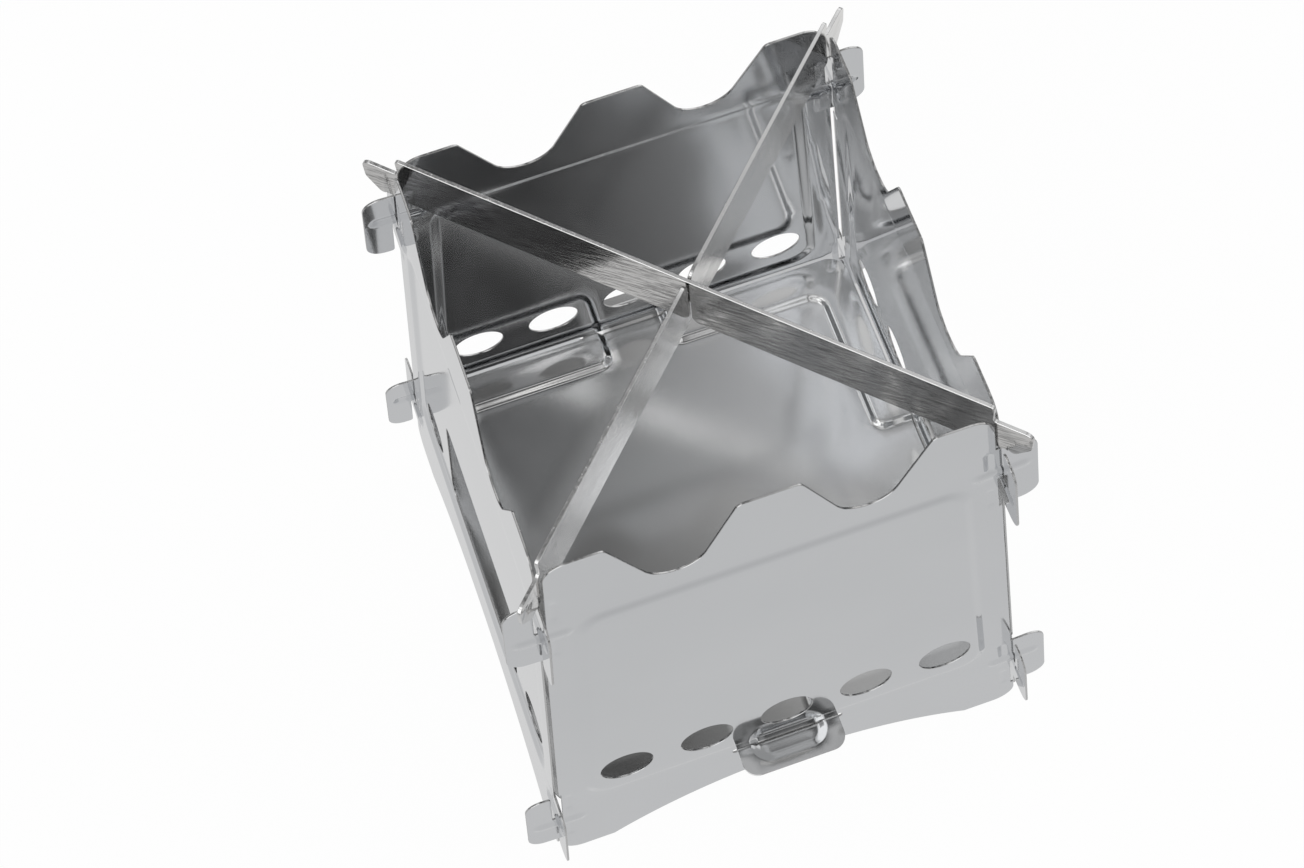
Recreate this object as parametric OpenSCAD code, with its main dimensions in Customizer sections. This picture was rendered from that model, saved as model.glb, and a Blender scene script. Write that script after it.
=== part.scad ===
// Knock-down twig stove: four leaning sheet walls hooked together at the corners,
// a pressed floor plate held by tabs in the walls, and two crossed pot support bars.
// Millimetres, +Z up, origin on the ground under the middle of the stove.
// The front wall faces -Y and the wall with the stoking port faces -X.

/* [Stove] */
// Height from the feet to the top edge of the walls
stove_h = 147; // [130:1:170]
// Inside width between facing walls at the ground
base_in = 114.4; // [106:0.2:125]
// Inside width between facing walls at the top edge
top_in = 91.5; // [84:0.5:98]
// Thickness of the steel sheet
sheet = 0.5; // [0.4:0.05:0.7]
// Gap from a wall's side edge to the inside of the wall next to it
corner_gap = 0.4; // [0.3:0.05:0.8]

/* [Top edge] */
// Distance from the middle of a wall to the middle of a scallop
scallop_u = 19.5; // [18.5:0.25:20.5]
// Depth of a scallop below the top edge
scallop_depth = 18.4; // [15:0.2:20]
// Radius at the bottom of a scallop
scallop_r = 7; // [5:0.5:8]
// Slope of a scallop's sides from level, in degrees
scallop_slope = 64.5; // [62:0.5:70]
// Radius at the ends of a scallop
land_r = 1.6; // [0.5:0.1:2.5]
// Radius of a wall's top corners
top_corner_r = 5; // [3:0.5:7]

/* [Bottom edge] */
// Half the span of the arch between the feet
arch_half = 44; // [38:1:46]
// Height of the arch
arch_rise = 12; // [8:0.5:14]
// Radius of a foot's outer corner
foot_r = 5; // [3:0.5:7]

/* [Pressed field of a wall] */
// How far the field stands out from the wall, or in from the wall with the port
field_h = 0.8; // [0.5:0.1:1]
// Distance from a wall's side edge to the field
field_side = 7; // [6:0.1:9]
// Height of the field's lower edge above the ground
field_low = 29.4; // [29:0.2:31]
// Distance from the top edge of the wall down to the field
field_drop = 26; // [24:0.5:32]
// Corner radius of the field
field_r = 6; // [4:0.5:8]

/* [Air holes] */
// Diameter of an air hole
hole_d = 12.2; // [9:0.2:13]
// Distance between air holes
hole_pitch = 18.8; // [17:0.2:19.6]
// Height of the row of air holes
hole_z = 41; // [38:0.5:48]
// Holes on each side of the middle one
hole_side_count = 2; // [1:1:2]

/* [Stoking port] */
// Width of the port
port_w = 50; // [40:1:56]
// Height of the port
port_h = 36; // [28:1:44]
// Height of the port's lower edge
port_z = 33.2; // [32:0.2:40]
// Corner radius of the port
port_r = 4; // [2:0.5:8]

/* [Corner hooks] */
// How far a hook reaches past the wall that it holds
hook_out = 7.3; // [6:0.1:9]
// Height of a hook
hook_h = 25; // [20:0.5:27]
// Outer corner radius of a hook
hook_r = 4; // [2:0.5:5]
// Width of the notch that takes the other wall
notch_w = 2.5; // [1.8:0.1:3]
// Space left between two hooks at their crossing
hook_seat = 0.3; // [0.2:0.05:0.5]
// Distance from the top of the walls down to the middle of the upper hooks
upper_hook_drop = 25.5; // [25:0.5:29]
// Height of the middle of the lower hooks
lower_hook_z = 21.5; // [19:0.5:24]

/* [Floor plate] */
// Height of the underside of the floor plate
floor_z = 25.2; // [24:0.2:26]
// Space between the floor plate and the walls
floor_gap = 0.4; // [0.3:0.1:1]
// Corner radius of the floor plate
floor_r = 5; // [3:0.5:8]
// How far the floor plate's field is pressed down
floor_field_h = 0.9; // [0.5:0.1:1.1]
// Distance from the edge of the floor plate to its field
floor_field_in = 8.2; // [6:0.2:14]
// Corner radius of the floor plate's field
floor_field_r = 4.5; // [3:0.5:8]
// Width of a floor tab
tab_w = 24.5; // [20:0.5:30]
// How far a floor tab reaches past the edge of the plate
tab_out = 8.4; // [6:0.2:10]
// Outer corner radius of a floor tab
tab_r = 3.5; // [2:0.5:5]
// Width of the pressed field on a floor tab
tab_field_w = 16.5; // [12:0.5:18]
// Distance from the end of a floor tab to its field
tab_field_in = 3; // [2:0.2:4]
// Space over and under a floor tab in its slot
slot_gap = 0.25; // [0.2:0.05:0.5]
// Space at each end of a floor tab's slot
slot_end = 1; // [0.5:0.1:2]

/* [Pot support bars] */
// Thickness of a bar
bar_t = 0.8; // [0.5:0.05:0.85]
// How far the bars stand above the walls
bar_rise = 2.8; // [1:0.1:5]
// Distance from the top of the walls down to the underside of the bars
bar_drop = 13.8; // [13.6:0.1:17]
// How far an ear reaches past the corner
ear_out = 6; // [4.5:0.1:8]
// Distance from the top of the walls down to the top of an ear
ear_top = 2.8; // [1:0.1:4]
// Height of an ear at its tip
ear_tip_h = 6; // [4:0.1:8]
// Distance from the top of the walls down to the lowest point of an ear
ear_low = 15.6; // [15:0.1:18]
// Half the width of the notch that rests on the hooks
seat_half = 1.5; // [1.2:0.1:2]
// Space under the bars where they rest
seat_gap = 0.15; // [0.1:0.05:0.3]
// Space on each side of the bars where they cross
lap_gap = 0.3; // [0.2:0.05:0.5]
// Radius at the mouth of the slots where the bars cross
lap_mouth_r = 2; // [1:0.5:3]
// Small corner radius on the bars
bar_corner_r = 1; // [0.5:0.1:1.5]

/* [Hidden] */
$fn = 48;
steel = [0.74, 0.75, 0.76];
steel_shade = [0.62, 0.63, 0.65];
bar_steel = [0.82, 0.82, 0.81];
// A cut runs this far past the face that it opens
past = 1;
// Angle by which each wall leans inwards, and its length along the slope
lean = atan((base_in - top_in) / 2 / stove_h);
wall_l = stove_h / cos(lean);
// The feet start this far down the slope, and are then cut level with the ground
foot_cut = sheet * tan(lean);
base_half = base_in / 2;
upper_hook_z = stove_h - upper_hook_drop;
// Angle of a wall's side edges in the plane of the wall
edge_angle = atan(sin(lean));
// Half the inside width of the stove at a height
function half_at(z) = base_half - z * tan(lean);
// Half the width of a wall's sheet at a distance along its slope
function wall_half(w) = base_half - w * sin(lean) - corner_gap;
// The same above the upper hooks, where the side edges run on from the notches and the bars pass
function pass_half(w) = base_half - w * sin(lean) - (notch_w - sheet) / 2;
// Distance along a wall's slope at a height
function along(z) = z / cos(lean);

// Points of a polygon whose corner i is rounded with radius r[i], in steps of about arc_step degrees
arc_step = 11.25;
function unit(v) = v / norm(v);
function corner(p, a, b, r) =
    let (
        ua = unit(a - p),
        ub = unit(b - p),
        half_turn = acos(max(-1, min(1, ua * ub))) / 2,
        reach = r / tan(half_turn),
        centre = p + unit(ua + ub) * r / sin(half_turn),
        start = p + ua * reach - centre,
        end = p + ub * reach - centre,
        from = atan2(start[1], start[0]),
        sweep = atan2(end[1], end[0]) - from,
        turn = sweep > 180 ? sweep - 360 : sweep < -180 ? sweep + 360 : sweep,
        steps = max(2, round(abs(turn) / arc_step))
    )
    r <= 0 ? [p] : [for (i = [0:steps]) let (a = from + turn * i / steps)
        centre + r * [cos(a), sin(a)]];
function rounded(p, r) = let (n = len(p))
    [for (i = [0:n - 1]) each corner(p[i], p[(i + n - 1) % n], p[(i + 1) % n], r[i])];

// Where the sloping sides of a scallop would meet, and half its width at the top edge
scallop_w = wall_l - scallop_depth + scallop_r - scallop_r / cos(scallop_slope);
scallop_half = (wall_l - scallop_w) / tan(scallop_slope);

// Corners of a wall's right half, from the foot up and in to the middle of the top edge
hook_w = along(upper_hook_z);
half_points = [
    [wall_half(0), -foot_cut], [wall_half(hook_w), hook_w],
    [pass_half(hook_w), hook_w], [pass_half(wall_l), wall_l],
    [scallop_u + scallop_half, wall_l], [scallop_u, scallop_w], [scallop_u - scallop_half, wall_l]];
half_radii = [foot_r, 0, 0, top_corner_r, land_r, scallop_r, land_r];

// Frame of a hook: x runs out past the corner, y up along it
module at_corner(z) {
    translate([base_half + sheet / 2, 0]) rotate(edge_angle) translate([0, along(z)]) children();
}

module hook_plate() {
    root = -corner_gap - field_side / 2;
    polygon(rounded([[root, -hook_h / 2], [hook_out, -hook_h / 2],
        [hook_out, hook_h / 2], [root, hook_h / 2]], [0, hook_r, hook_r, 0]));
}

// The notch opens downwards from just above the middle of the hook
module hook_notch() {
    translate([-notch_w / 2, -hook_h / 2 - past])
        square([notch_w, hook_h / 2 + past + hook_seat / 2]);
}

module hooks_of_side() {
    for (z = [lower_hook_z, upper_hook_z]) at_corner(z) children();
}

// Outline of a wall seen from outside: its right hooks open downwards, its left hooks upwards
module wall_outline() {
    arch_r = (arch_half * arch_half + arch_rise * arch_rise) / (2 * arch_rise);
    last = len(half_points) - 1;
    difference() {
        union() {
            polygon(rounded(
                [each half_points, for (i = [last:-1:0]) [-half_points[i][0], half_points[i][1]]],
                [each half_radii, for (i = [last:-1:0]) half_radii[i]]));
            hooks_of_side() hook_plate();
            mirror([1, 0]) hooks_of_side() hook_plate();
        }
        translate([0, arch_rise - arch_r]) circle(arch_r, $fn = 180);
        hooks_of_side() hook_notch();
        mirror([1, 0]) hooks_of_side() mirror([0, 1]) hook_notch();
    }
}

// Outline of the pressed field, drawn in by a margin
module wall_field(margin) {
    low = along(field_low) + margin;
    high = wall_l - field_drop - margin;
    inset = field_side + margin;
    r = field_r - margin;
    polygon(rounded([
        [-wall_half(low) + inset, low], [wall_half(low) - inset, low],
        [wall_half(high) - inset, high], [-wall_half(high) + inset, high]],
        [r, r, r, r]));
}

// A wall in its own plane: inner face at z = 0, outer face towards +z
module wall_sheet() {
    difference() {
        union() {
            linear_extrude(sheet) wall_outline();
            linear_extrude(sheet + field_h) wall_field(0);
        }
        translate([0, 0, -past]) linear_extrude(field_h + past) wall_field(sheet);
    }
}

// Cuts through a wall, whichever way its field is pressed
module through() {
    translate([0, 0, -past - field_h]) linear_extrude(2 * past + sheet + 2 * field_h) children();
}

module air_hole(i) {
    through() translate([i * hole_pitch, along(hole_z)]) circle(d = hole_d);
}

// Slot for a floor tab, with room for the pressed field of the tab
module tab_slot() {
    slot_l = tab_w + 2 * slot_end;
    slot_h = sheet + floor_field_h + 2 * slot_gap;
    slot_w = along(floor_z - floor_field_h - slot_gap);
    through() translate([-slot_l / 2, slot_w]) square([slot_l, slot_h]);
}

// Rounded opening of the stoking port
module port_cut() {
    left = -port_w / 2;
    right = port_w / 2;
    low = along(port_z);
    high = low + port_h;
    through() polygon(rounded([[left, low], [right, low], [right, high], [left, high]],
        [port_r, port_r, port_r, port_r]));
}

// Stands a wall up on its side of the stove, with its feet cut level with the ground
module stand(side_angle) {
    rotate([0, 0, side_angle]) difference() {
        translate([0, -base_half, 0]) rotate([90 - lean, 0, 0]) children();
        translate([-base_half, -base_half - past, -past]) cube([base_in, 2 * past, past]);
    }
}

module slotted_wall() {
    difference() {
        wall_sheet();
        for (i = [-hole_side_count:hole_side_count]) air_hole(i);
        tab_slot();
    }
}

module front_panel() {
    color(steel) stand(0) slotted_wall();
}

module right_panel() {
    color(steel_shade) stand(90) slotted_wall();
}

module back_panel() {
    color(steel_shade) stand(180) slotted_wall();
}

// The port takes the place of the middle air holes. This wall has no floor slot, and its field
// is pressed inwards.
module port_panel() {
    color(steel) stand(270) difference() {
        translate([0, 0, sheet]) mirror([0, 0, 1]) wall_sheet();
        for (i = [-hole_side_count, hole_side_count]) air_hole(i);
        port_cut();
    }
}

// The plate's sides that have a tab: front, right and back
tab_sides = [0, 90, 180];

module floor_outline() {
    h = half_at(floor_z + sheet) - floor_gap;
    polygon(rounded([[-h, -h], [h, -h], [h, h], [-h, h]], [floor_r, floor_r, floor_r, floor_r]));
    for (a = tab_sides) rotate(a) polygon(rounded([
        [-tab_w / 2, -h + floor_r], [-tab_w / 2, -h - tab_out],
        [tab_w / 2, -h - tab_out], [tab_w / 2, -h + floor_r]], [0, tab_r, tab_r, 0]));
}

module floor_field(margin) {
    h = half_at(floor_z + sheet) - floor_gap;
    f = h - floor_field_in - margin;
    r = floor_field_r - margin;
    end = h + tab_out - tab_field_in - margin;
    side = tab_field_w / 2 - margin;
    tip_r = tab_r - margin;
    polygon(rounded([[-f, -f], [f, -f], [f, f], [-f, f]], [r, r, r, r]));
    for (a = tab_sides) rotate(a)
        polygon(rounded([[-side, -f + r], [-side, -end], [side, -end], [side, -f + r]],
            [0, tip_r, tip_r, 0]));
}

// The field is pressed down, so the plate is drawn upside down
module floor_plate() {
    color(steel_shade) translate([0, 0, floor_z + sheet]) mirror([0, 0, 1]) difference() {
        union() {
            linear_extrude(sheet) floor_outline();
            linear_extrude(sheet + floor_field_h) floor_field(0);
        }
        translate([0, 0, -past]) linear_extrude(floor_field_h + past) floor_field(sheet);
    }
}

// Heights of the bars, and distances from the middle along them
bar_top_z = stove_h + bar_rise;
bar_low_z = stove_h - bar_drop;
// Distance from the middle to a corner, halfway through the sheets, at a height
function corner_at(z) = norm((half_at(z) + sheet / 2) * [1, 1]);
// Top of the hooks at a corner, on which the bars rest
rest_z = (along(upper_hook_z) + hook_h / 2) * cos(lean);
rest_s = corner_at(rest_z);
corner_s = corner_at(stove_h);

// Points and corner radii of one half of a bar's outline, from under the middle out to its top
tip_s = rest_s + ear_out;
ear_z = stove_h - ear_top;
bar_points = [
    [rest_s - seat_half, bar_low_z], [rest_s - seat_half, rest_z + seat_gap],
    [rest_s + seat_half, rest_z + seat_gap], [rest_s + seat_half, stove_h - ear_low],
    [tip_s, ear_z - ear_tip_h], [tip_s, ear_z],
    [corner_s - bar_corner_r, ear_z], [corner_s - bar_corner_r, bar_top_z]];
bar_radii = [0, 0, 0, bar_corner_r, 2 * bar_corner_r, 2 * bar_corner_r, bar_corner_r, bar_corner_r];

module bar_outline() {
    last = len(bar_points) - 1;
    polygon(rounded(
        [each bar_points, for (i = [last:-1:0]) [-bar_points[i][0], bar_points[i][1]]],
        [each bar_radii, for (i = [last:-1:0]) bar_radii[i]]));
}

// Slot that opens downwards from the middle of the bar's height, with a rounded mouth
module lap_slot() {
    slot_half = bar_t / 2 + lap_gap;
    middle_z = (bar_low_z + bar_top_z) / 2 + seat_gap / 2;
    translate([-slot_half, bar_low_z - past]) square([2 * slot_half, middle_z - bar_low_z + past]);
    difference() {
        translate([-slot_half - lap_mouth_r, bar_low_z - past])
            square([2 * (slot_half + lap_mouth_r), lap_mouth_r + past]);
        for (side = [-1, 1]) translate([side * (slot_half + lap_mouth_r), bar_low_z + lap_mouth_r])
            circle(lap_mouth_r);
    }
}

// A bar lies along a diagonal and is bar_t thick
module stand_bar(angle) {
    rotate([0, 0, angle]) translate([0, bar_t / 2, 0]) rotate([90, 0, 0]) linear_extrude(bar_t) children();
}

// Mirrors a shape about the middle of the bars' height
module upside_down() {
    translate([0, bar_low_z + bar_top_z]) mirror([0, 1]) children();
}

// Runs from the front left corner to the back right one, slotted from above
module lower_support_bar() {
    color(bar_steel) stand_bar(45) difference() {
        bar_outline();
        upside_down() lap_slot();
    }
}

// Runs from the front right corner to the back left one, slotted from below
module upper_support_bar() {
    color(bar_steel) stand_bar(-45) difference() {
        bar_outline();
        lap_slot();
    }
}

front_panel();
right_panel();
back_panel();
port_panel();
floor_plate();
lower_support_bar();
upper_support_bar();
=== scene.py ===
"""Looks of a knock-down twig stove in thin stainless sheet.

Each sheet is drawn flat, as an outline in its own plane with points along its pressed steps,
then pressed by a height for every point and stood where the frame has it.
Lengths are millimetres until a mesh is made. A wall's plane has u to the right and w up its
slope, as seen from outside, and its height n runs outwards from the inner face.
"""
import math

import bpy
import numpy as np
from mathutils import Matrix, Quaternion, Vector
from mathutils.geometry import delaunay_2d_cdt


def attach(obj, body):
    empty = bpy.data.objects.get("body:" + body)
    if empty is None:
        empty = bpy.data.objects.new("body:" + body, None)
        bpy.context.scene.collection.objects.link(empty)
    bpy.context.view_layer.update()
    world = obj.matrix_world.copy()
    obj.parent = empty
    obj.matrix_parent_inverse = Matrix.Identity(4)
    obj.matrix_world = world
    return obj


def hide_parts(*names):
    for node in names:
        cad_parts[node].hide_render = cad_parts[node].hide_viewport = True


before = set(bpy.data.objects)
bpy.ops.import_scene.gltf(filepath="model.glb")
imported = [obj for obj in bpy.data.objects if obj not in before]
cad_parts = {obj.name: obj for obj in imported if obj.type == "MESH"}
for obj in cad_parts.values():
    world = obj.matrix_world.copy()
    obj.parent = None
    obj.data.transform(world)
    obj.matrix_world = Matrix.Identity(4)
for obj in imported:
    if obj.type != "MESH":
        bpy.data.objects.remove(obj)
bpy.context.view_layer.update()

MM = 0.001

# Walls
STOVE_H = 147.0
BASE_HALF = 57.2
TOP_HALF = 45.75
SHEET = 0.5
CORNER_GAP = 0.4
SCALLOP_U = 19.5
SCALLOP_DEPTH = 18.4
SCALLOP_R = 7.0
SCALLOP_SLOPE = math.radians(64.5)
LAND_R = 1.6
TOP_CORNER_R = 5.0
ARCH_HALF = 44.0
ARCH_RISE = 12.0
FOOT_R = 5.0
LEAN = math.atan((BASE_HALF - TOP_HALF) / STOVE_H)
WALL_L = STOVE_H / math.cos(LEAN)
EDGE_ANGLE = math.atan(math.sin(LEAN))

# Pressed field of a wall
FIELD_H = 0.8
FIELD_SIDE = 7.0
FIELD_LOW = 29.4
FIELD_DROP = 26.0
FIELD_R = 6.0

# Holes and port
HOLE_D = 12.2
HOLE_PITCH = 18.8
HOLE_Z = 41.0
HOLE_SIDE_COUNT = 2
PORT_W = 50.0
PORT_H = 36.0
PORT_Z = 33.2
PORT_R = 4.0

# Corner hooks
HOOK_OUT = 7.3
HOOK_H = 25.0
HOOK_R = 4.0
NOTCH_W = 2.5
NOTCH_R = 0.7
NOTCH_RUN = 1.0
HOOK_SEAT = 0.3
PASS_GAP = (NOTCH_W - SHEET) / 2
UPPER_HOOK_Z = 121.5
LOWER_HOOK_Z = 21.5

# Floor plate
FLOOR_Z = 25.2
FLOOR_GAP = 0.4
FLOOR_R = 5.0
FLOOR_FIELD_DROP = 0.9
FLOOR_FIELD_IN = 8.2
FLOOR_FIELD_R = 4.5
FLOOR_FIELD_EASE = 1.2
TAB_W = 24.5
TAB_OUT = 8.4
TAB_R = 3.5
TAB_ROOT_R = 1.0
TAB_FIELD_W = 16.5
TAB_FIELD_IN = 3.0
ARM_ROOT_R = 2.5
SLOT_GAP = 0.25
SLOT_END = 1.0
SLOT_R = 0.6
# Which sides of the plate have a tab, going round anticlockwise from the front
TAB_SIDES = [True, True, True, False]

# Support bars
BAR_T = 0.8
BAR_RISE = 2.8
BAR_DROP = 13.8
EAR_OUT = 6.0
EAR_TOP = 2.8
EAR_TIP_H = 6.0
EAR_LOW = 15.6
SEAT_HALF = 1.5
SEAT_GAP = 0.15
SEAT_R = 0.2
EAR_ROOT_R = 0.3
LAP_GAP = 0.3
LAP_MOUTH_R = 2.0
LAP_END_R = 0.25
BAR_CORNER_R = 1.0

# Heights of the slight waves that the sheets keep, and the seed of the floor plate's
WALL_WAVE = 0.006
FLOOR_WAVE = 0.03
BAR_WAVE = 0.03
FLOOR_SEED = 5

# Fineness of the meshes
ARC_STEP = 0.5
EDGE_STEP = 2.4
FIELD_EDGE_STEP = 1.6
GRID_STEP = 2.6
GRID_SHIFT = 0.37
RIM_CLEAR = 0.25
MERGE_STEP = 0.2
SAME_POINT = 1e-5
LEAST_TURN = 1e-9
EDGE_EASE = 0.09
SHARP_FROM = math.radians(30)


def along(z):
    """Distance along a wall's slope at a height."""
    return z / math.cos(LEAN)


def half_at(z):
    """Half the inside width of the stove at a height."""
    return BASE_HALF - z * math.tan(LEAN)


def wall_half(w, gap=CORNER_GAP):
    """Half the width of a wall's sheet at a distance along its slope."""
    return BASE_HALF - w * math.sin(LEAN) - gap


# Flat outlines


def unit(vector):
    return vector / np.linalg.norm(vector)


def rounded_corner(point, before, after, radius):
    """Points of the arc that rounds one corner of an outline."""
    if radius <= 0:
        return [point]
    to_before = unit(before - point)
    to_after = unit(after - point)
    half_turn = math.acos(np.clip(to_before @ to_after, -1, 1)) / 2
    reach = radius / math.tan(half_turn)
    centre = point + unit(to_before + to_after) * radius / math.sin(half_turn)
    start = point + to_before * reach - centre
    end = point + to_after * reach - centre
    first = math.atan2(start[1], start[0])
    sweep = (math.atan2(end[1], end[0]) - first + math.pi) % (2 * math.pi) - math.pi
    count = max(3, math.ceil(abs(sweep) * radius / ARC_STEP))
    angles = first + sweep * np.arange(count + 1) / count
    return [centre + radius * np.array([math.cos(a), math.sin(a)]) for a in angles]


def outline(corners, step=EDGE_STEP):
    """A closed outline from (x, y, radius) corners, with its long edges divided."""
    points = [np.array(c[:2], float) for c in corners]
    ring = []
    for i, corner in enumerate(corners):
        ring += rounded_corner(points[i], points[i - 1], points[(i + 1) % len(points)], corner[2])
    divided = []
    for i, start in enumerate(ring):
        end = ring[(i + 1) % len(ring)]
        count = max(1, math.ceil(np.linalg.norm(end - start) / step))
        divided += [start + (end - start) * k / count for k in range(count)]
    return np.array(divided)


def circle(centre, diameter):
    count = math.ceil(math.pi * diameter / ARC_STEP)
    angles = 2 * math.pi * np.arange(count) / count
    return np.array(centre) + diameter / 2 * np.column_stack([np.cos(angles), np.sin(angles)])


def moved_in(ring, distance):
    """A closed ring moved to its left, which is inwards on an anticlockwise one."""
    before = ring - np.roll(ring, 1, axis=0)
    after = np.roll(ring, -1, axis=0) - ring
    before /= np.linalg.norm(before, axis=1)[:, None]
    after /= np.linalg.norm(after, axis=1)[:, None]
    middle = before + after
    middle /= np.linalg.norm(middle, axis=1)[:, None]
    spread = np.clip((middle * after).sum(axis=1), 0.5, 1)
    left = np.column_stack([-middle[:, 1], middle[:, 0]])
    return ring + left * (distance / spread)[:, None]


def in_chunks(function, points, size=1500):
    return np.concatenate([function(points[i:i + size]) for i in range(0, len(points), size)])


def distance_to(ring, points):
    """Distance from each point to a closed ring."""
    start = ring
    edge = np.roll(ring, -1, axis=0) - start
    length2 = (edge ** 2).sum(axis=1)

    def of_chunk(chunk):
        offset = chunk[:, None, :] - start[None]
        share = np.clip((offset * edge).sum(axis=2) / length2, 0, 1)
        return np.linalg.norm(offset - share[..., None] * edge, axis=2).min(axis=1)

    return in_chunks(of_chunk, points)


def inside(ring, points):
    """Whether each point lies inside a closed ring."""
    x0, y0 = ring.T
    x1, y1 = np.roll(ring, -1, axis=0).T
    rise = np.where(y1 == y0, 1, y1 - y0)

    def of_chunk(chunk):
        x, y = chunk[:, :1], chunk[:, 1:]
        spans = (y0 <= y) != (y1 <= y)
        crosses = spans & (x < x0 + (y - y0) * (x1 - x0) / rise)
        return crosses.sum(axis=1) % 2 == 1

    return in_chunks(of_chunk, points)


def smooth(share):
    """Eases from 0 to 1."""
    share = np.clip(share, 0, 1)
    return share * share * (3 - 2 * share)


# What the press does to a flat sheet


class Field:
    """A raised field, or a sunken one at a negative height, with a soft step along its outline."""

    def __init__(self, ring, height, ease=1.5, shift=0.25, ring_step=0.3):
        self.ring = ring
        self.height = height
        self.ease = ease
        self.shift = shift
        self.ring_step = ring_step

    def heights(self, points):
        distance = distance_to(self.ring, points)
        depth = np.where(inside(self.ring, points), distance, -distance) - self.shift
        return self.height * smooth((depth + self.ease) / (2 * self.ease))

    def points(self):
        """Rings of points that follow the step."""
        count = math.ceil(2 * self.ease / self.ring_step)
        depths = self.shift - self.ease + 2 * self.ease * np.arange(count + 1) / count
        return np.concatenate([moved_in(self.ring, d) for d in depths])


class Bead:
    """A low rounded rib or dent along a line."""

    def __init__(self, start, end, half_width, height, step=0.55):
        self.start = np.array(start, float)
        self.end = np.array(end, float)
        self.half_width = half_width
        self.height = height
        self.step = step

    def heights(self, points):
        line = self.end - self.start
        share = np.clip(((points - self.start) @ line) / (line @ line + 1e-9), 0, 1)
        distance = np.linalg.norm(points - self.start - share[:, None] * line, axis=1)
        return self.height * np.clip(1 - (distance / self.half_width) ** 2, 0, 1) ** 2

    def points(self):
        low = np.minimum(self.start, self.end) - self.half_width
        high = np.maximum(self.start, self.end) + self.half_width
        return grid(low, high, self.step)


def grid(low, high, step):
    x = np.arange(low[0], high[0] + step, step)
    y = np.arange(low[1], high[1] + step, step)
    return np.array(np.meshgrid(x, y)).reshape(2, -1).T


def spring(points, size, seed):
    """The slight waves that thin sheet keeps after pressing, moved along by the seed."""
    x, y = points.T
    wave = np.sin(x / 13 + 1.7 * seed) * np.cos(y / 17 + 0.9 * seed)
    wave += 0.6 * np.sin((x + y) / 23 + 2.3 * seed) * np.sin((x - 0.6 * y) / 31 + seed)
    return size * wave


# Meshes


def thinned(points, keep_from, least):
    """Points that lie at least a distance from every ring in keep_from."""
    for ring in keep_from:
        points = points[distance_to(ring, points) > least]
    return points


def flat_points(outer, holes, presses):
    """Points within a sheet: along its pressed steps, and on a wide grid between them."""
    rings = [outer, *holes]
    fine = [thinned(p.points(), rings, RIM_CLEAR) for p in presses]
    wide = grid(outer.min(axis=0), outer.max(axis=0), GRID_STEP) + GRID_SHIFT
    wide = thinned(wide, rings, 0.6 * GRID_STEP)
    for press in presses:
        if isinstance(press, Field):
            wide = thinned(wide, [press.ring], press.ease + press.shift + 0.4 * GRID_STEP)
        else:
            middle = (press.start + press.end) / 2
            reach = press.half_width + np.abs(press.end - press.start) / 2 + 0.5
            wide = wide[(np.abs(wide - middle) > reach).any(axis=1)]
    points = np.concatenate([wide, *fine])
    keep = inside(outer, points)
    for hole in holes:
        keep &= ~inside(hole, points)
    points = points[keep]
    _, first = np.unique(np.round(points / MERGE_STEP).astype(int), axis=0, return_index=True)
    return points[np.sort(first)]


def triangles_within(points, rings):
    """Triangles over the points that keep the rings as edges and stay inside the sheet."""
    edges = []
    start = 0
    for ring in rings:
        count = len(ring)
        edges += [(start + i, start + (i + 1) % count) for i in range(count)]
        start += count
    made = delaunay_2d_cdt([Vector(p) for p in points], edges, [], 0, SAME_POINT)
    where = {}
    for new, olds in enumerate(made[3]):
        for old in olds:
            where[old] = new
    back = np.full(len(made[0]), -1)
    for old, new in where.items():
        back[new] = old if back[new] < 0 else min(back[new], old)
    faces = back[np.array([list(f) for f in made[2]])]
    centres = points[faces].mean(axis=1)
    keep = inside(rings[0], centres)
    for ring in rings[1:]:
        keep &= ~inside(ring, centres)
    faces = faces[keep & (faces >= 0).all(axis=1)]
    a, b, c = (points[faces[:, k]] for k in range(3))
    turn = np.cross(b - a, c - a)
    faces[turn < 0] = faces[turn < 0][:, ::-1]
    return faces[np.abs(turn) > LEAST_TURN]


def pressed_sheet(name, outer, holes, presses, thickness, place, wave=(0.0, 0)):
    """A sheet of even thickness with eased edges. place turns (x, y, height) into the frame."""
    rings = [outer, *[hole[::-1] for hole in holes]]
    eased = [moved_in(ring, EDGE_EASE) for ring in rings]
    flat = np.concatenate([*eased, flat_points(outer, holes, presses)])
    faces = triangles_within(flat, eased)

    def height(points):
        return sum(p.heights(points) for p in presses) + spring(points, *wave)

    lift = height(flat)
    rim = np.concatenate(rings)
    rim_lift = height(rim)
    layers = [
        (flat, lift + thickness),
        (rim, rim_lift + thickness - EDGE_EASE),
        (rim, rim_lift + EDGE_EASE),
        (flat, lift),
    ]
    starts = np.cumsum([0] + [len(layer[0]) for layer in layers])
    vertices = np.concatenate([place(*layer[0].T, layer[1]) for layer in layers])
    polygons = [*faces.tolist(), *(faces[:, ::-1] + starts[3]).tolist()]
    cap_count = len(polygons)
    first = 0
    for ring in rings:
        count = len(ring)
        for i in range(count):
            a, b = first + i, first + (i + 1) % count
            for upper, lower in zip(starts[:3], starts[1:4]):
                polygons.append([upper + a, lower + a, lower + b, upper + b])
        first += count
    mesh = bpy.data.meshes.new(name)
    mesh.from_pydata((vertices * MM).tolist(), [], polygons)
    rim_slot = np.zeros(len(polygons), np.int32)
    rim_slot[cap_count:] = 1
    mesh.polygons.foreach_set("material_index", rim_slot)
    mesh.shade_smooth()
    mesh.set_sharp_from_angle(angle=SHARP_FROM)
    mesh.validate()
    piece = bpy.data.objects.new(name, mesh)
    bpy.context.scene.collection.objects.link(piece)
    return piece


# Walls


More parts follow.
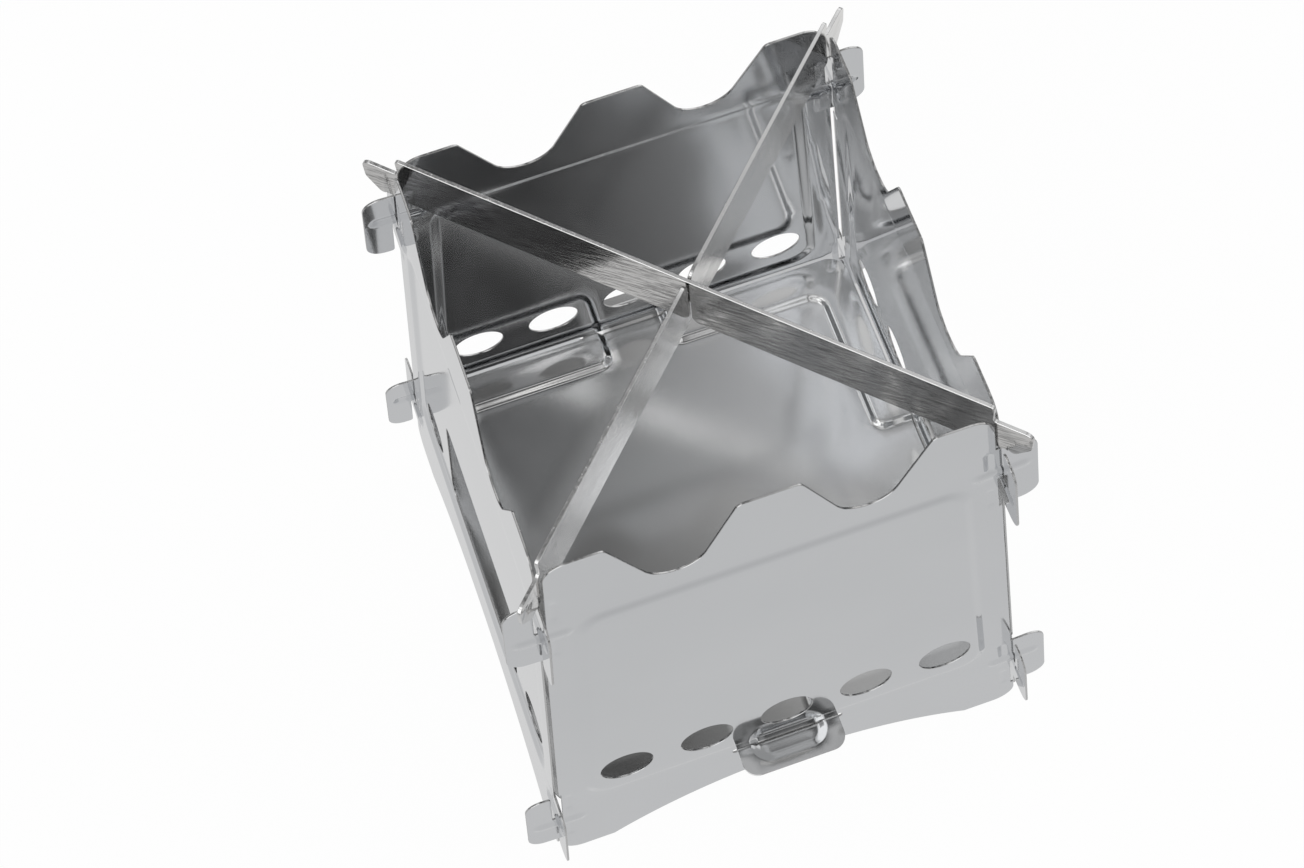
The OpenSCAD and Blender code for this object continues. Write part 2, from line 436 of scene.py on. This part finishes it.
def hook_corner(side, z, x, y):
    """A point of a hook, x out past the corner and y up along it, in the plane of the wall."""
    rise = along(z) + y
    u = BASE_HALF + SHEET / 2 + x * math.cos(EDGE_ANGLE) - rise * math.sin(EDGE_ANGLE)
    w = x * math.sin(EDGE_ANGLE) + rise * math.cos(EDGE_ANGLE)
    return side * u, w


def hook(side, z, gap_before, gap_after):
    """Corners of a hook. The right one's notch opens down and the left one's opens up.

    The gaps are those of the wall's edge on the side where the notch opens and on the other.
    """
    before = -(gap_before + SHEET / 2)
    after = -(gap_after + SHEET / 2)
    notch = NOTCH_W / 2
    local = []
    if gap_before < PASS_GAP:
        local = [(before, -HOOK_H / 2 - NOTCH_RUN, 0), (-notch, -HOOK_H / 2 - NOTCH_RUN, 0)]
    local += [
        (-notch, HOOK_SEAT / 2, NOTCH_R), (notch, HOOK_SEAT / 2, NOTCH_R),
        (notch, -HOOK_H / 2, NOTCH_R), (HOOK_OUT, -HOOK_H / 2, HOOK_R),
        (HOOK_OUT, HOOK_H / 2, HOOK_R), (after, HOOK_H / 2, 0)]
    return [(*hook_corner(side, z, x, side * y), r) for x, y, r in local]


def scallop(centre):
    """Corners of one scallop, from its right end to its left."""
    bottom = WALL_L - SCALLOP_DEPTH + SCALLOP_R - SCALLOP_R / math.cos(SCALLOP_SLOPE)
    mouth = (WALL_L - bottom) / math.tan(SCALLOP_SLOPE)
    return [
        (centre + mouth, WALL_L, LAND_R),
        (centre, bottom, SCALLOP_R),
        (centre - mouth, WALL_L, LAND_R)]


def wall_outline():
    arch_r = (ARCH_HALF ** 2 + ARCH_RISE ** 2) / (2 * ARCH_RISE)
    arch_angle = math.asin(ARCH_HALF / arch_r)
    arch_steps = 40
    arch = []
    for i in range(arch_steps + 1):
        angle = arch_angle * (2 * i / arch_steps - 1)
        arch.append((arch_r * math.sin(angle), ARCH_RISE - arch_r + arch_r * math.cos(angle), 0))
    top_half = wall_half(WALL_L, PASS_GAP)
    return outline([
        (-wall_half(0), 0, FOOT_R), *arch, (wall_half(0), 0, FOOT_R),
        *hook(1, LOWER_HOOK_Z, CORNER_GAP, CORNER_GAP),
        *hook(1, UPPER_HOOK_Z, CORNER_GAP, PASS_GAP),
        (top_half, WALL_L, TOP_CORNER_R),
        *scallop(SCALLOP_U), *scallop(-SCALLOP_U),
        (-top_half, WALL_L, TOP_CORNER_R),
        *hook(-1, UPPER_HOOK_Z, PASS_GAP, CORNER_GAP),
        *hook(-1, LOWER_HOOK_Z, CORNER_GAP, CORNER_GAP)])


def wall_field(height):
    low = along(FIELD_LOW)
    high = WALL_L - FIELD_DROP
    side_low = wall_half(low) - FIELD_SIDE
    side_high = wall_half(high) - FIELD_SIDE
    ring = outline([
        (-side_low, low, FIELD_R), (side_low, low, FIELD_R),
        (side_high, high, FIELD_R), (-side_high, high, FIELD_R)], FIELD_EDGE_STEP)
    return Field(ring, height)


def hook_beads():
    """Each hook's stiffening rib, and the set of the sheet beside its root, above and below."""
    rib_from, rib_to, rib_off = -5.0, 4.2, 2.6
    rib_half, rib_h = 1.9, 0.5
    set_x, set_from, set_to = -2.9, 5.2, 11.0
    set_half, set_h, set_step = 1.1, -0.2, 0.5
    beads = []
    for z in (LOWER_HOOK_Z, UPPER_HOOK_Z):
        for side in (1, -1):
            beads.append(Bead(
                hook_corner(side, z, rib_from, side * rib_off),
                hook_corner(side, z, rib_to, side * rib_off), rib_half, rib_h))
            for end in (1, -1):
                beads.append(Bead(
                    hook_corner(side, z, set_x, end * set_from),
                    hook_corner(side, z, set_x, end * set_to), set_half, set_h, set_step))
    return beads


def air_holes(columns):
    return [circle((i * HOLE_PITCH, along(HOLE_Z)), HOLE_D) for i in columns]


def rectangle(half, low, high, radius):
    """A rounded rectangle about the middle line of a wall."""
    return outline([
        (-half, low, radius), (half, low, radius), (half, high, radius), (-half, high, radius)])


def tab_slot():
    low = along(FLOOR_Z - FLOOR_FIELD_DROP - SLOT_GAP)
    high = low + SHEET + FLOOR_FIELD_DROP + 2 * SLOT_GAP
    return rectangle(TAB_W / 2 + SLOT_END, low, high, SLOT_R)


def port():
    low = along(PORT_Z)
    return rectangle(PORT_W / 2, low, low + PORT_H, PORT_R)


def standing(side_angle):
    """Places a wall's plane on one side of the stove."""
    turn = math.radians(side_angle)

    def place(u, w, n):
        x = u
        y = w * math.sin(LEAN) - n * math.cos(LEAN) - BASE_HALF
        z = w * math.cos(LEAN) + n * math.sin(LEAN)
        return np.column_stack([
            x * math.cos(turn) - y * math.sin(turn), x * math.sin(turn) + y * math.cos(turn), z])

    return place


def wall(node, side_angle, holes, field_height, seed):
    presses = [wall_field(field_height), *hook_beads()]
    return pressed_sheet(
        "pressed_" + node, wall_outline(), holes, presses, SHEET, standing(side_angle),
        (WALL_WAVE, seed))


# Floor plate


def round_plate(corners_of_tab, half, radius):
    """Corners of a square with tabs on its sides, anticlockwise from the front left."""
    corners = []
    for i, has_tab in enumerate(TAB_SIDES):
        turn = math.radians(90 * i)
        local = [(-half, -half, radius), *(corners_of_tab if has_tab else [])]
        for x, y, r in local:
            turned_x = x * math.cos(turn) - y * math.sin(turn)
            turned_y = x * math.sin(turn) + y * math.cos(turn)
            corners.append((turned_x, turned_y, r))
    return corners


def floor_plate():
    half = half_at(FLOOR_Z + SHEET) - FLOOR_GAP
    tab_half = TAB_W / 2
    tip = half + TAB_OUT
    tab = [
        (-tab_half, -half, TAB_ROOT_R), (-tab_half, -tip, TAB_R),
        (tab_half, -tip, TAB_R), (tab_half, -half, TAB_ROOT_R)]
    field = half - FLOOR_FIELD_IN
    arm_half = TAB_FIELD_W / 2
    arm_tip = tip - TAB_FIELD_IN
    arm = [
        (-arm_half, -field, ARM_ROOT_R), (-arm_half, -arm_tip, TAB_R),
        (arm_half, -arm_tip, TAB_R), (arm_half, -field, ARM_ROOT_R)]
    ring = outline(round_plate(arm, field, FLOOR_FIELD_R), FIELD_EDGE_STEP)
    presses = [Field(ring, -FLOOR_FIELD_DROP, FLOOR_FIELD_EASE)]

    def place(x, y, n):
        return np.column_stack([x, y, FLOOR_Z + n])

    return pressed_sheet(
        "pressed_floor_plate", outline(round_plate(tab, half, FLOOR_R)), [], presses, SHEET, place,
        (FLOOR_WAVE, FLOOR_SEED))


# Support bars


def corner_at(z):
    return (half_at(z) + SHEET / 2) * math.sqrt(2)


def bar_half():
    """Corners of one half of a bar, from under the middle out to its top."""
    low = STOVE_H - BAR_DROP
    rest_z = (along(UPPER_HOOK_Z) + HOOK_H / 2) * math.cos(LEAN)
    rest_s = corner_at(rest_z)
    corner_s = corner_at(STOVE_H) - BAR_CORNER_R
    tip_s = rest_s + EAR_OUT
    ear_z = STOVE_H - EAR_TOP
    return [
        (rest_s - SEAT_HALF, low, SEAT_R), (rest_s - SEAT_HALF, rest_z + SEAT_GAP, SEAT_R),
        (rest_s + SEAT_HALF, rest_z + SEAT_GAP, EAR_ROOT_R),
        (rest_s + SEAT_HALF, STOVE_H - EAR_LOW, BAR_CORNER_R),
        (tip_s, ear_z - EAR_TIP_H, 2 * BAR_CORNER_R), (tip_s, ear_z, 2 * BAR_CORNER_R),
        (corner_s, ear_z, BAR_CORNER_R), (corner_s, STOVE_H + BAR_RISE, BAR_CORNER_R)]


def bar(node, angle, slot_from_below, seed):
    """A bar along a diagonal, slotted where it crosses the other one."""
    low = STOVE_H - BAR_DROP
    high = STOVE_H + BAR_RISE
    slot_half = BAR_T / 2 + LAP_GAP
    deep = (low + high) / 2 + SEAT_GAP / 2
    slot = [
        (-slot_half, low, LAP_MOUTH_R), (-slot_half, deep, LAP_END_R),
        (slot_half, deep, LAP_END_R), (slot_half, low, LAP_MOUTH_R)]
    right = bar_half()
    left = [(-s, z, r) for s, z, r in reversed(right)]
    if slot_from_below:
        corners = [*slot, *right, *left]
    else:
        upper_slot = [(-s, low + high - z, r) for s, z, r in slot]
        corners = [*right, *upper_slot, *left]
    turn = math.radians(angle)

    def place(s, z, n):
        across = n - BAR_T / 2
        x = s * math.cos(turn) + across * math.sin(turn)
        y = s * math.sin(turn) - across * math.cos(turn)
        return np.column_stack([x, y, z])

    # Each ear has a soft dent, which starts this far in from its tip and runs out and down
    dent_in, dent_out, dent_high, dent_low = 2.6, 0.8, 140.5, 139.0
    dent_half, dent_h = 2.2, 0.16
    tip = max(s for s, _, _ in right)
    dents = []
    for side in (1, -1):
        start = side * (tip - dent_in)
        dents.append(Bead(
            (start, dent_high), (start + side * dent_out, dent_low), dent_half, dent_h * side))
    return pressed_sheet(
        "cut_" + node, outline(corners), [], dents, BAR_T, place, (BAR_WAVE, seed))


# Materials


class Nodes:
    """Short ways to add shader nodes to one material."""

    def __init__(self, material):
        material.use_nodes = True
        self.tree = material.node_tree
        self.shader = self.tree.nodes["Principled BSDF"]

    def add(self, kind, **values):
        node = self.tree.nodes.new(kind)
        for key, value in values.items():
            setattr(node, key, value)
        return node

    def link(self, output, target):
        self.tree.links.new(output, target)

    def where(self):
        """Coordinates in the object's own space, in metres."""
        return self.add("ShaderNodeTexCoord").outputs["Object"]

    def noise(self, vector, scale, detail=2.0, roughness=0.5):
        node = self.add("ShaderNodeTexNoise")
        node.inputs["Scale"].default_value = scale
        node.inputs["Detail"].default_value = detail
        node.inputs["Roughness"].default_value = roughness
        self.link(vector, node.inputs["Vector"])
        return node.outputs["Fac"]

    def ramp(self, value, low, high, first, second):
        """Turns a value from low to high into one from first to second."""
        node = self.add("ShaderNodeMapRange")
        node.inputs["From Min"].default_value = low
        node.inputs["From Max"].default_value = high
        node.inputs["To Min"].default_value = first
        node.inputs["To Max"].default_value = second
        self.link(value, node.inputs["Value"])
        return node.outputs["Result"]

    def math(self, operation, first, second):
        node = self.add("ShaderNodeMath", operation=operation)
        self.link(first, node.inputs[0])
        if isinstance(second, (int, float)):
            node.inputs[1].default_value = second
        else:
            self.link(second, node.inputs[1])
        return node.outputs["Value"]

    def colour(self, value, dark, light):
        node = self.add("ShaderNodeMix", data_type="RGBA")
        node.inputs["A"].default_value = (*dark, 1)
        node.inputs["B"].default_value = (*light, 1)
        self.link(value, node.inputs["Factor"])
        self.link(node.outputs["Result"], self.shader.inputs["Base Color"])

    def bump(self, height, distance, strength, under=None):
        node = self.add("ShaderNodeBump")
        node.inputs["Strength"].default_value = strength
        node.inputs["Distance"].default_value = distance
        self.link(height, node.inputs["Height"])
        if under is not None:
            self.link(under, node.inputs["Normal"])
        return node.outputs["Normal"]


# Scales of the noises, in waves per metre
CLOUD = 26
SMEAR = 130
GRAIN = 2600
SHEAR = 1500

# Depths of the bumps, in metres
SMEAR_DEPTH = 0.00002
GRAIN_DEPTH = 0.000006
SCRATCH_DEPTH = 0.00002

# A scratch of the bars: its length, its width and its slant from the bar's length
SCRATCH_SIZE = (0.006, 0.0005, 0.0005)
SCRATCH_SLANT = math.radians(-14)


def steel(name, rough_low, rough_high):
    """Bright rolled stainless: hazy reflections, a fine grain and faint handling marks.

    Returns the material, its nodes and the cloudy value that its colour may follow.
    """
    material = bpy.data.materials.new(name)
    nodes = Nodes(material)
    where = nodes.where()
    cloud = nodes.noise(where, CLOUD, 3)
    fine = nodes.noise(where, GRAIN, 2)
    smear = nodes.noise(where, SMEAR, 4, 0.6)
    haze = nodes.math(
        "ADD", nodes.math("MULTIPLY", cloud, 0.6), nodes.math("MULTIPLY", smear, 0.4))
    rough = nodes.ramp(haze, 0.35, 0.65, rough_low, rough_high)
    nodes.link(rough, nodes.shader.inputs["Roughness"])
    wave = nodes.bump(smear, SMEAR_DEPTH, 0.06)
    normal = nodes.bump(fine, GRAIN_DEPTH, 0.05, wave)
    nodes.link(normal, nodes.shader.inputs["Normal"])
    nodes.shader.inputs["Metallic"].default_value = 1.0
    return material, nodes, cloud


def sheet_steel(name, dark, light, rough_low, rough_high):
    """Rolled sheet whose tint varies softly."""
    material, nodes, cloud = steel(name, rough_low, rough_high)
    nodes.colour(cloud, dark, light)
    return material


def wall_steel():
    return sheet_steel(
        "wall_steel_finish", (0.62, 0.63, 0.645), (0.67, 0.68, 0.695), 0.06, 0.075)


def floor_steel():
    return sheet_steel(
        "floor_steel_finish", (0.62, 0.625, 0.625), (0.68, 0.68, 0.68), 0.12, 0.15)


def bar_steel(name, angle, painted_tone, rough, worn):
    """Polished strip with fine scratches that slant a little from its length. Its face tone is
    painted light and shade: the same steel is painted lighter on the lower bar than on the upper
    one, standing in for the light each catches.
    """
    material, nodes, _ = steel(name, rough, 1.4 * rough)
    # Painted light and shade: the face grey is scaled per bar, lighter for the lower bar and
    # darker for the upper one, standing in for their reflections.
    light = tuple(painted_tone * tint for tint in (1.0, 0.99, 0.975))
    dark = tuple(0.3 * tint for tint in light)
    along_bar = nodes.add("ShaderNodeMapping", vector_type="TEXTURE")
    along_bar.inputs["Rotation"].default_value = (0, SCRATCH_SLANT, math.radians(angle))
    along_bar.inputs["Scale"].default_value = SCRATCH_SIZE
    nodes.link(nodes.where(), along_bar.inputs["Vector"])
    scratch = nodes.noise(along_bar.outputs["Vector"], 1.0, 3, 0.6)
    depth = nodes.ramp(scratch, 0.46, 0.64, 0, worn)
    nodes.colour(depth, light, dark)
    under = nodes.shader.inputs["Normal"].links[0].from_socket
    nodes.link(nodes.bump(depth, SCRATCH_DEPTH, 0.3, under), nodes.shader.inputs["Normal"])
    return material


def cut_edge(name, dark, light):
    """The sheared edge of the sheet, rougher than its faces. Its greys are given per use; the
    bars' lighter pair is a painted highlight.
    """
    material = bpy.data.materials.new(name)
    nodes = Nodes(material)
    shear = nodes.noise(nodes.where(), SHEAR, 2)
    nodes.colour(shear, (dark, dark, dark), (light, light, light))
    nodes.link(nodes.ramp(shear, 0.3, 0.7, 0.16, 0.28), nodes.shader.inputs["Roughness"])
    nodes.shader.inputs["Metallic"].default_value = 1.0
    return material


# Camera, light and floor

CAMERA_AT = (-58.3, -215.3, 587.0)
CAMERA_AIM = (-8.2, 10.35, 60.0)
CAMERA_ROLL = math.radians(-7.07)
FOCAL_PX = 2551.4
IMAGE_W = 1304
SENSOR_W = 36.0


def camera():
    data = bpy.data.cameras.new("camera")
    data.sensor_width = SENSOR_W
    data.lens = FOCAL_PX * SENSOR_W / IMAGE_W
    data.clip_start = 0.01
    view = bpy.data.objects.new("camera", data)
    bpy.context.scene.collection.objects.link(view)
    sight = Vector(CAMERA_AIM) - Vector(CAMERA_AT)
    view.rotation_mode = "QUATERNION"
    view.rotation_quaternion = sight.to_track_quat("-Z", "Y") @ Quaternion((0, 0, 1), CAMERA_ROLL)
    view.location = Vector(CAMERA_AT) * MM
    bpy.context.scene.camera = view


# Slope at which the bands end to the left and to the right
SKY_REACH = 1.0
# Light overhead as (slope to the right, brightness) steps, in bands from far in front of the
# stove to behind it. The dark strip over the middle is the camera's rig.
SKY = [
    [(-0.36, 1.8), (-0.26, 1.0), (-0.08, 1.1), (-0.03, 0.1), (0.05, 0.08), (0.12, 0.35),
     (0.18, 1.0), (0.3, 0.6)],
    [(-0.36, 1.8), (-0.26, 1.0), (-0.08, 1.1), (-0.03, 0.1), (0.03, 0.3), (0.07, 0.6),
     (0.12, 0.6), (0.18, 1.0), (0.3, 0.6)],
    [(-0.9, 0.4), (-0.6, 2.0), (-0.43, 0.6), (-0.36, 1.3), (-0.08, 0.7), (-0.03, 0.1),
     (0.09, 0.0), (0.17, 0.5), (0.24, 0.05), (0.32, 0.05), (0.4, 1.2)],
    [(-0.9, 0.4), (-0.7, 1.6), (-0.52, 2.2), (-0.42, 0.5), (-0.2, 0.6), (0.1, 0.8),
     (0.24, 0.1), (0.4, 0.1), (0.66, 0.8)],
    [(-0.6, 0.5), (-0.33, 0.6), (-0.09, 0.6), (-0.05, 0.0), (0.05, 0.02), (0.08, 0.2),
     (0.12, 0.4), (0.16, 0.6), (0.2, 0.5), (0.36, 0.9), (0.6, 0.3), (0.7, 1.2)],
    [(-0.6, 0.35), (-0.36, 0.9), (-0.09, 0.7), (-0.05, 0.0), (0.0, 0.04), (0.06, 0.18),
     (0.1, 0.22), (0.16, 0.85), (0.2, 0.8), (0.36, 1.2), (0.5, 1.0), (0.62, 0.25),
     (0.71, 1.2)]]
# Slopes to the back at which one band gives way to the next
SKY_TURNS = [-0.64, -0.47, -0.2, 0.15, 0.315]
SKY_TURN_HALF = 0.03
# Least rise of a direction whose slopes are worked out, so that the horizon stays finite
LEAST_RISE = 0.001


def grey_ramp(tree, value, steps):
    """A ramp of greys through (position, grey) steps."""
    ramp = tree.nodes.new("ShaderNodeValToRGB")
    tree.links.new(value, ramp.inputs["Fac"])
    stops = ramp.color_ramp.elements
    while len(stops) < len(steps):
        stops.new(0.5)
    for stop, (position, grey) in zip(stops, steps):
        stop.position = position
        stop.color = (grey, grey, grey, 1)
    return ramp.outputs["Color"]


def studio_world():
    """A pale room whose brightness overhead varies in bands."""
    world = bpy.data.worlds.new("studio")
    bpy.context.scene.world = world
    world.use_nodes = True
    tree = world.node_tree
    where = tree.nodes.new("ShaderNodeTexCoord")
    split = tree.nodes.new("ShaderNodeSeparateXYZ")
    tree.links.new(where.outputs["Generated"], split.inputs[0])
    up = tree.nodes.new("ShaderNodeMath")
    up.operation = "MAXIMUM"
    up.inputs[1].default_value = LEAST_RISE
    tree.links.new(split.outputs["Z"], up.inputs[0])
    slopes = []
    for axis in ("X", "Y"):
        slope = tree.nodes.new("ShaderNodeMath")
        slope.operation = "DIVIDE"
        tree.links.new(split.outputs[axis], slope.inputs[0])
        tree.links.new(up.outputs["Value"], slope.inputs[1])
        slopes.append(slope.outputs["Value"])
    right, back = slopes
    across = tree.nodes.new("ShaderNodeMapRange")
    across.inputs["From Min"].default_value = -SKY_REACH
    across.inputs["From Max"].default_value = SKY_REACH
    tree.links.new(right, across.inputs["Value"])
    bands = []
    for band in SKY:
        steps = [((x + SKY_REACH) / (2 * SKY_REACH), grey) for x, grey in band]
        bands.append(grey_ramp(tree, across.outputs["Result"], steps))
    sky = bands[0]
    for turn, band in zip(SKY_TURNS, bands[1:]):
        share = tree.nodes.new("ShaderNodeMapRange")
        share.interpolation_type = "SMOOTHSTEP"
        share.inputs["From Min"].default_value = turn - SKY_TURN_HALF
        share.inputs["From Max"].default_value = turn + SKY_TURN_HALF
        tree.links.new(back, share.inputs["Value"])
        mix = tree.nodes.new("ShaderNodeMix")
        mix.data_type = "RGBA"
        tree.links.new(share.outputs["Result"], mix.inputs["Factor"])
        tree.links.new(sky, mix.inputs["A"])
        tree.links.new(band, mix.inputs["B"])
        sky = mix.outputs["Result"]
    tree.links.new(sky, tree.nodes["Background"].inputs["Color"])


# Pale floor, in metres
PALE_HALF = 3.0
PALE_Z = -0.0002
PALE_PAINT = (0.86, 0.86, 0.86, 1)
# How much of what the camera sees of it is plain white. The rest is paint, which takes shadows
PALE_WHITE = 0.97
# A painted pool of light that only reflections see: the floor glows brightest near the stove and
# fades with distance from it
PALE_GLOW_POOL = [(0.0, 0.72), (0.2, 0.7), (0.42, 0.63), (0.7, 0.3), (1.0, 0.1)]


def pale_floor():
    """A wide white floor with a soft shadow. In reflections it glows as a painted pool of light
    that fades away from the stove.
    """
    mesh = bpy.data.meshes.new("pale_floor")
    turns = ((-1, -1), (1, -1), (1, 1), (-1, 1))
    corners = [(x * PALE_HALF, y * PALE_HALF, PALE_Z) for x, y in turns]
    mesh.from_pydata(corners, [], [(0, 1, 2, 3)])
    plane = bpy.data.objects.new("pale_floor", mesh)
    bpy.context.scene.collection.objects.link(plane)
    material = bpy.data.materials.new("pale_floor")
    material.use_nodes = True
    tree = material.node_tree
    tree.nodes.clear()
    out = tree.nodes.new("ShaderNodeOutputMaterial")
    paint = tree.nodes.new("ShaderNodeBsdfDiffuse")
    paint.inputs["Color"].default_value = PALE_PAINT
    white = tree.nodes.new("ShaderNodeEmission")
    rays = tree.nodes.new("ShaderNodeLightPath")
    for_camera = tree.nodes.new("ShaderNodeMixShader")
    share = tree.nodes.new("ShaderNodeMath")
    share.operation = "MULTIPLY"
    share.inputs[1].default_value = PALE_WHITE
    tree.links.new(rays.outputs["Is Camera Ray"], share.inputs[0])
    tree.links.new(share.outputs["Value"], for_camera.inputs["Fac"])
    tree.links.new(paint.outputs["BSDF"], for_camera.inputs[1])
    tree.links.new(white.outputs["Emission"], for_camera.inputs[2])

    # Painted pool of light for the steel's reflections: the floor's glow, by distance from the
    # stove.
    place = tree.nodes.new("ShaderNodeNewGeometry")
    reach = tree.nodes.new("ShaderNodeVectorMath")
    reach.operation = "LENGTH"
    tree.links.new(place.outputs["Position"], reach.inputs[0])
    fall = grey_ramp(tree, reach.outputs["Value"], PALE_GLOW_POOL)
    pool_glow = tree.nodes.new("ShaderNodeEmission")
    tree.links.new(fall, pool_glow.inputs["Color"])
    for_mirrors = tree.nodes.new("ShaderNodeMixShader")
    tree.links.new(rays.outputs["Is Glossy Ray"], for_mirrors.inputs["Fac"])
    tree.links.new(for_camera.outputs["Shader"], for_mirrors.inputs[1])
    tree.links.new(pool_glow.outputs["Emission"], for_mirrors.inputs[2])
    tree.links.new(for_mirrors.outputs["Shader"], out.inputs["Surface"])
    mesh.materials.append(material)


# The object

# Each bar: node, angle, whether its slot opens down, body, brightness, roughness, wear. The
# brightness is painted light and shade: the lower bar is painted lighter and the upper one darker,
# in place of their reflections.
BARS = [
    ("lower_support_bar", 45, False, "lower_bar", 0.9, 0.08, 0.2),
    ("upper_support_bar", -45, True, "upper_bar", 0.6, 0.05, 0.8)]


def dress(piece, node, body, face, edge):
    """Gives a piece its finish and puts it in the place of a node of the frame."""
    piece.data.materials.append(face)
    piece.data.materials.append(edge)
    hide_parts(node)
    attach(piece, body)


def stove():
    edge = cut_edge("sheet_edge_finish", 0.44, 0.62)
    # Painted highlight: the bars' cut edges are the same sheared steel as the sheet's, painted
    # lighter to stand in for the light they catch.
    bar_edge = cut_edge("bar_edge_painted_highlight", 0.6, 0.74)
    sheet_face = wall_steel()
    columns = range(-HOLE_SIDE_COUNT, HOLE_SIDE_COUNT + 1)
    slotted = [*air_holes(columns), tab_slot()]
    ported = [*air_holes([-HOLE_SIDE_COUNT, HOLE_SIDE_COUNT]), port()]
    walls = [("front_panel", 0, slotted, FIELD_H), ("right_panel", 90, slotted, FIELD_H),
             ("back_panel", 180, slotted, FIELD_H), ("port_panel", 270, ported, -FIELD_H)]
    for seed, (node, side_angle, holes, field_height) in enumerate(walls):
        piece = wall(node, side_angle, holes, field_height, seed)
        dress(piece, node, "stove_body", sheet_face, edge)
    dress(floor_plate(), "floor_plate", "stove_body", floor_steel(), edge)
    for seed, (node, angle, slot_from_below, body, painted_tone, rough, worn) in enumerate(BARS):
        face = bar_steel(node + "_finish", angle, painted_tone, rough, worn)
        dress(bar(node, angle, slot_from_below, seed), node, body, face, bar_edge)


camera()
stove()
pale_floor()
studio_world()
bpy.context.scene.view_settings.view_transform = "Standard"
